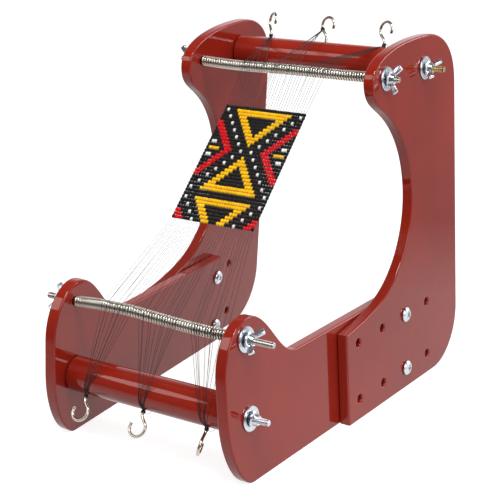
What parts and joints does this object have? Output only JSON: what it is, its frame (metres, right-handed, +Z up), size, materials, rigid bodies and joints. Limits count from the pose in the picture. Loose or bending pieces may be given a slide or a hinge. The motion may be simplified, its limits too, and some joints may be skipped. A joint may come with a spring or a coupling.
{
  "type": "standing bead loom",
  "caption": "Standing bead loom: bolted side frames, two clamped warp beams with screw hooks, spring-covered rods and a strip of bead weaving on its warp.",
  "frame": {"origin": "on the table under the middle of the bounding box", "axes": "+X to the right across the loom, +Y from front to back, +Z up"},
  "size_m": [0.1808, 0.2724, 0.2405],
  "materials": {
    "red_paint": "gloss oxblood enamel on wood",
    "zinc": "bright zinc plate",
    "yellow_zinc": "yellow zinc plate",
    "nickel": "nickel plate",
    "thread": "dark waxed thread",
    "beads": "opaque gloss glass, mostly black"
  },
  "bodies": {
    "frame": {"bead_band": "beads", "front_rod": "zinc", "front_spring": "nickel", "front_warp_left": "thread", "front_warp_middle": "thread", "front_warp_right": "thread", "left_front_board": "red_paint", "left_lower_bolt": "zinc", "left_lower_bolt_nut": "zinc", "left_rear_board": "red_paint", "left_upper_bolt": "zinc", "left_upper_bolt_nut": "zinc", "right_front_board": "red_paint", "right_lower_bolt": "zinc", "right_lower_bolt_nut": "zinc", "right_rear_board": "red_paint", "right_upper_bolt": "zinc", "right_upper_bolt_nut": "zinc", "top_rod": "zinc", "top_spring": "nickel", "top_warp_left": "thread", "top_warp_middle": "thread", "top_warp_right": "thread"},
    "front_beam_assembly": {"front_beam": "red_paint", "left_front_beam_stud": "zinc", "right_front_beam_stud": "zinc", "front_beam_left_hook": "nickel", "front_beam_middle_hook": "nickel", "front_beam_right_hook": "nickel"},
    "top_beam_assembly": {"top_beam": "red_paint", "left_top_beam_stud": "zinc", "right_top_beam_stud": "yellow_zinc", "top_beam_left_hook": "nickel", "top_beam_middle_hook": "nickel", "top_beam_right_hook": "nickel"},
    "left_front_rod_washer_body": {"left_front_rod_washer": "zinc"},
    "left_front_rod_wing_nut_body": {"left_front_rod_wing_nut": "zinc"},
    "left_top_rod_washer_body": {"left_top_rod_washer": "zinc"},
    "left_top_rod_wing_nut_body": {"left_top_rod_wing_nut": "zinc"},
    "left_front_beam_washer_body": {"left_front_beam_washer": "zinc"},
    "left_front_beam_wing_nut_body": {"left_front_beam_wing_nut": "zinc"},
    "left_top_beam_washer_body": {"left_top_beam_washer": "zinc"},
    "left_top_beam_wing_nut_body": {"left_top_beam_wing_nut": "zinc"},
    "right_front_rod_washer_body": {"right_front_rod_washer": "zinc"},
    "right_front_rod_wing_nut_body": {"right_front_rod_wing_nut": "zinc"},
    "right_top_rod_washer_body": {"right_top_rod_washer": "zinc"},
    "right_top_rod_wing_nut_body": {"right_top_rod_wing_nut": "zinc"},
    "right_front_beam_washer_body": {"right_front_beam_washer": "zinc"},
    "right_front_beam_wing_nut_body": {"right_front_beam_wing_nut": "zinc"},
    "right_top_beam_washer_body": {"right_top_beam_washer": "zinc"},
    "right_top_beam_wing_nut_body": {"right_top_beam_wing_nut": "zinc"}
  },
  "joints": [
    {"name": "front_beam_turn", "type": "hinge", "parent": "frame", "child": "front_beam_assembly", "pos_m": [0.00052, -0.11485, 0.04], "axis": [1, 0, 0], "range_deg": [-40, 15], "deforming": ["front_warp_left", "front_warp_middle", "front_warp_right"]},
    {"name": "top_beam_turn", "type": "hinge", "parent": "frame", "child": "top_beam_assembly", "pos_m": [0.00052, 0.09065, 0.2125], "axis": [1, 0, 0], "range_deg": [-15, 40], "deforming": ["top_warp_left", "top_warp_middle", "top_warp_right"]},
    {"name": "left_front_rod_washer_slide", "type": "slide", "parent": "frame", "child": "left_front_rod_washer_body", "axis": [-1, 0, 0], "range_m": [0, 0.0016]},
    {"name": "left_front_rod_wing_nut_turn", "type": "hinge", "parent": "left_front_rod_washer_body", "child": "left_front_rod_wing_nut_body", "pos_m": [-0.07012, -0.11535, 0.088], "axis": [-1, 0, 0], "range_deg": [0, 720]},
    {"name": "left_top_rod_washer_slide", "type": "slide", "parent": "frame", "child": "left_top_rod_washer_body", "axis": [-1, 0, 0], "range_m": [0, 0.0016]},
    {"name": "left_top_rod_wing_nut_turn", "type": "hinge", "parent": "left_top_rod_washer_body", "child": "left_top_rod_wing_nut_body", "pos_m": [-0.07822, 0.03865, 0.2127], "axis": [-1, 0, 0], "range_deg": [0, 720]},
    {"name": "left_front_beam_washer_slide", "type": "slide", "parent": "frame", "child": "left_front_beam_washer_body", "axis": [-1, 0, 0], "range_m": [0, 0.0016]},
    {"name": "left_front_beam_wing_nut_turn", "type": "hinge", "parent": "left_front_beam_washer_body", "child": "left_front_beam_wing_nut_body", "pos_m": [-0.07298, -0.11485, 0.04], "axis": [-1, 0, 0], "range_deg": [0, 720]},
    {"name": "left_top_beam_washer_slide", "type": "slide", "parent": "frame", "child": "left_top_beam_washer_body", "axis": [-1, 0, 0], "range_m": [0, 0.0016]},
    {"name": "left_top_beam_wing_nut_turn", "type": "hinge", "parent": "left_top_beam_washer_body", "child": "left_top_beam_wing_nut_body", "pos_m": [-0.0808, 0.09065, 0.2125], "axis": [-1, 0, 0], "range_deg": [0, 720]},
    {"name": "right_front_rod_washer_slide", "type": "slide", "parent": "frame", "child": "right_front_rod_washer_body", "axis": [1, 0, 0], "range_m": [0, 0.0016]},
    {"name": "right_front_rod_wing_nut_turn", "type": "hinge", "parent": "right_front_rod_washer_body", "child": "right_front_rod_wing_nut_body", "pos_m": [0.07116, -0.11535, 0.088], "axis": [1, 0, 0], "range_deg": [0, 720]},
    {"name": "right_top_rod_washer_slide", "type": "slide", "parent": "frame", "child": "right_top_rod_washer_body", "axis": [1, 0, 0], "range_m": [0, 0.0016]},
    {"name": "right_top_rod_wing_nut_turn", "type": "hinge", "parent": "right_top_rod_washer_body", "child": "right_top_rod_wing_nut_body", "pos_m": [0.07925, 0.03865, 0.2127], "axis": [1, 0, 0], "range_deg": [0, 720]},
    {"name": "right_front_beam_washer_slide", "type": "slide", "parent": "frame", "child": "right_front_beam_washer_body", "axis": [1, 0, 0], "range_m": [0, 0.0016]},
    {"name": "right_front_beam_wing_nut_turn", "type": "hinge", "parent": "right_front_beam_washer_body", "child": "right_front_beam_wing_nut_body", "pos_m": [0.07401, -0.11485, 0.04], "axis": [1, 0, 0], "range_deg": [0, 720]},
    {"name": "right_top_beam_washer_slide", "type": "slide", "parent": "frame", "child": "right_top_beam_washer_body", "axis": [1, 0, 0], "range_m": [0, 0.0016]},
    {"name": "right_top_beam_wing_nut_turn", "type": "hinge", "parent": "right_top_beam_washer_body", "child": "right_top_beam_wing_nut_body", "pos_m": [0.08184, 0.09065, 0.2125], "axis": [1, 0, 0], "range_deg": [0, 720]}
  ],
  "couplings": [
    {"joint": "left_front_rod_wing_nut_turn", "follows": "left_front_rod_washer_slide", "rad_per_m": 7850},
    {"joint": "left_top_rod_wing_nut_turn", "follows": "left_top_rod_washer_slide", "rad_per_m": 7850},
    {"joint": "left_front_beam_wing_nut_turn", "follows": "left_front_beam_washer_slide", "rad_per_m": 7850},
    {"joint": "left_top_beam_wing_nut_turn", "follows": "left_top_beam_washer_slide", "rad_per_m": 7850},
    {"joint": "right_front_rod_wing_nut_turn", "follows": "right_front_rod_washer_slide", "rad_per_m": 7850},
    {"joint": "right_top_rod_wing_nut_turn", "follows": "right_top_rod_washer_slide", "rad_per_m": 7850},
    {"joint": "right_front_beam_wing_nut_turn", "follows": "right_front_beam_washer_slide", "rad_per_m": 7850},
    {"joint": "right_top_beam_wing_nut_turn", "follows": "right_top_beam_washer_slide", "rad_per_m": 7850}
  ]
}
